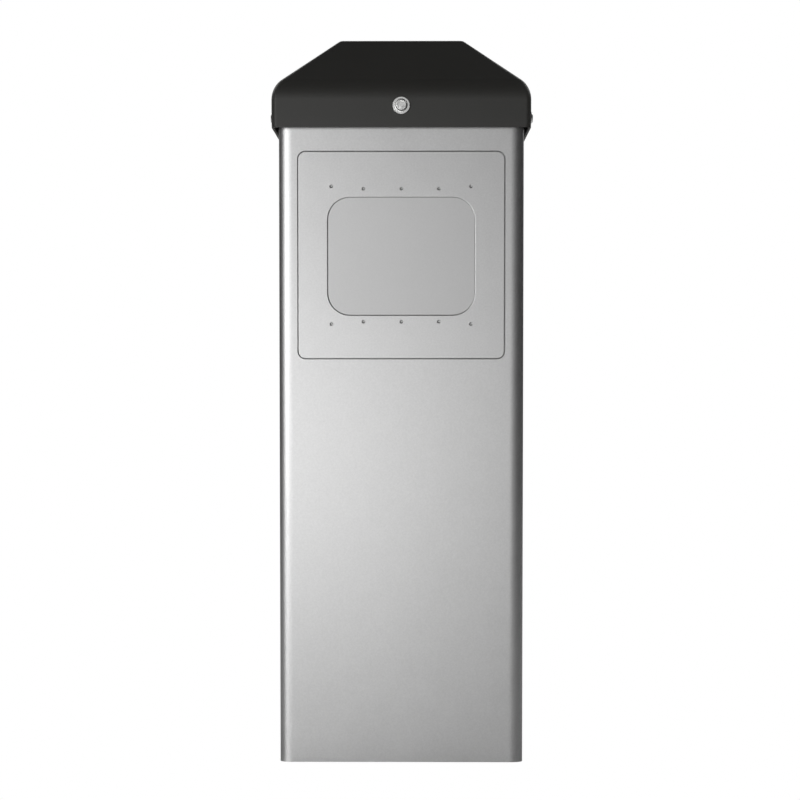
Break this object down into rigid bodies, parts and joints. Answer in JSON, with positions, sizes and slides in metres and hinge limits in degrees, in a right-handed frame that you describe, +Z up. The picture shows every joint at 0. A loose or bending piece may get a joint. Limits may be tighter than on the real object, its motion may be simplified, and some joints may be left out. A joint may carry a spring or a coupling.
{
  "type": "parking barrier cabinet with boom drive",
  "caption": "Upright aluminium parking barrier cabinet with a black hipped hood, square front plate, rear service door, boom drive and boom holder.",
  "frame": {"origin": "centre of the base plate's underside", "axes": "+Z up, the front of the cabinet faces -Y, and the boom holder stands out on the +Y side with the boom leaving along -X"},
  "size_m": [0.3504, 0.2905, 0.9444],
  "materials": {
    "satin_aluminium": "satin brushed",
    "black_hood": "semi-matte black powder coat",
    "grey_field": "matte grey",
    "bright_steel": "machined",
    "zinc_plated_steel": "zinc plated",
    "cast_grey": "painted cast grey",
    "black_rubber": "matte",
    "grey_plastic": "fine textured",
    "green_board": "solder mask",
    "red_plastic": "moulded",
    "green_plastic": "moulded"
  },
  "bodies": {
    "cabinet": {"housing_shell": "satin_aluminium", "base_plate": "zinc_plated_steel", "anchor_bolt_1": "zinc_plated_steel", "anchor_bolt_2": "zinc_plated_steel", "anchor_bolt_3": "zinc_plated_steel", "anchor_bolt_4": "zinc_plated_steel", "front_cover_plate": "satin_aluminium", "inlay_panel": "grey_field", "plate_frame": "zinc_plated_steel", "rear_panel": "satin_aluminium", "mid_crossbar": "zinc_plated_steel", "door_sill": "zinc_plated_steel", "door_seal": "black_rubber", "hinge_lower": "bright_steel", "hinge_upper": "bright_steel", "drive_frame": "zinc_plated_steel", "rear_bearing_plate": "zinc_plated_steel", "bearing_front": "cast_grey", "bearing_rear": "cast_grey", "gearbox_housing": "cast_grey", "gearbox_cover": "cast_grey", "motor_housing": "cast_grey", "motor_end_cap": "grey_plastic", "stop_buffer_closed": "black_rubber", "stop_buffer_open": "black_rubber", "limit_switch_closed": "grey_plastic", "limit_switch_open": "grey_plastic", "balance_spring": "bright_steel", "spring_anchor": "zinc_plated_steel", "shaft_seal": "black_rubber", "controller_box": "grey_plastic", "controller_board": "green_board", "transformer": "cast_grey"},
    "boom": {"main_shaft": "bright_steel", "cam_disc": "grey_plastic", "spring_lever": "cast_grey", "drive_lever": "cast_grey", "boom_flange": "bright_steel", "boom_holder": "satin_aluminium", "boom_clamp": "satin_aluminium", "clamp_bolt_1": "bright_steel", "clamp_bolt_2": "bright_steel", "clamp_bolt_3": "bright_steel", "clamp_bolt_4": "bright_steel"},
    "crank_body": {"crank": "bright_steel"},
    "rod_body": {"drive_rod": "bright_steel"},
    "hood_body": {"hood": "black_hood", "hood_screw_front": "bright_steel", "hood_screw_rear": "bright_steel", "hood_screw_left": "bright_steel", "hood_screw_right": "bright_steel"},
    "door": {"service_door": "satin_aluminium"},
    "controller_lid": {"controller_cover": "grey_plastic"},
    "lock": {"door_lock": "bright_steel"},
    "release": {"release_lever": "red_plastic"},
    "open_button": {"button_open": "green_plastic"},
    "stop_button": {"button_stop": "red_plastic"},
    "close_button": {"button_close": "grey_plastic"},
    "knob": {"mains_knob": "red_plastic"}
  },
  "joints": [
    {"name": "boom_swing", "type": "hinge", "parent": "cabinet", "child": "boom", "pos_m": [0, 0, 0.656], "axis": [0, 1, 0], "range_deg": [0, 90], "deforming": ["balance_spring"]},
    {"name": "crank_turn", "type": "hinge", "parent": "cabinet", "child": "crank_body", "pos_m": [0, 0.018, 0.396], "axis": [0, 1, 0], "range_deg": [0, 90]},
    {"name": "rod_turn", "type": "hinge", "parent": "crank_body", "child": "rod_body", "pos_m": [0.04243, 0.032, 0.43843], "axis": [0, 1, 0], "range_deg": [-90, 0]},
    {"name": "hood_lift", "type": "slide", "parent": "cabinet", "child": "hood_body", "axis": [0, 0, 1], "range_m": [0, 0.15]},
    {"name": "door_swing", "type": "hinge", "parent": "cabinet", "child": "door", "pos_m": [0.1535, 0.108, 0.275], "axis": [0, 0, -1], "range_deg": [0, 110]},
    {"name": "door_lock_turn", "type": "hinge", "parent": "door", "child": "lock", "pos_m": [-0.122, 0.1, 0.275], "axis": [0, -1, 0], "range_deg": [0, 90]},
    {"name": "release_turn", "type": "hinge", "parent": "cabinet", "child": "release", "pos_m": [0.0853, -0.034, 0.4], "axis": [-1, 0, 0], "range_deg": [0, 60]},
    {"name": "mains_knob_turn", "type": "hinge", "parent": "controller_lid", "child": "knob", "pos_m": [-0.108, -0.047, 0.15], "axis": [0, 1, 0], "range_deg": [0, 90]},
    {"name": "controller_lid_swing", "type": "hinge", "parent": "cabinet", "child": "controller_lid", "pos_m": [-0.0165, -0.0497, 0.06], "axis": [0, 0, -1], "range_deg": [0, 90]},
    {"name": "button_open_press", "type": "slide", "parent": "controller_lid", "child": "open_button", "axis": [0, -1, 0], "range_m": [0, 0.003], "stiffness_N_per_m": 300},
    {"name": "button_stop_press", "type": "slide", "parent": "controller_lid", "child": "stop_button", "axis": [0, -1, 0], "range_m": [0, 0.003], "stiffness_N_per_m": 300},
    {"name": "button_close_press", "type": "slide", "parent": "controller_lid", "child": "close_button", "axis": [0, -1, 0], "range_m": [0, 0.003], "stiffness_N_per_m": 300}
  ],
  "couplings": [
    {"joint": "crank_turn", "follows": "boom_swing", "ratio": 1},
    {"joint": "rod_turn", "follows": "boom_swing", "ratio": -1}
  ]
}
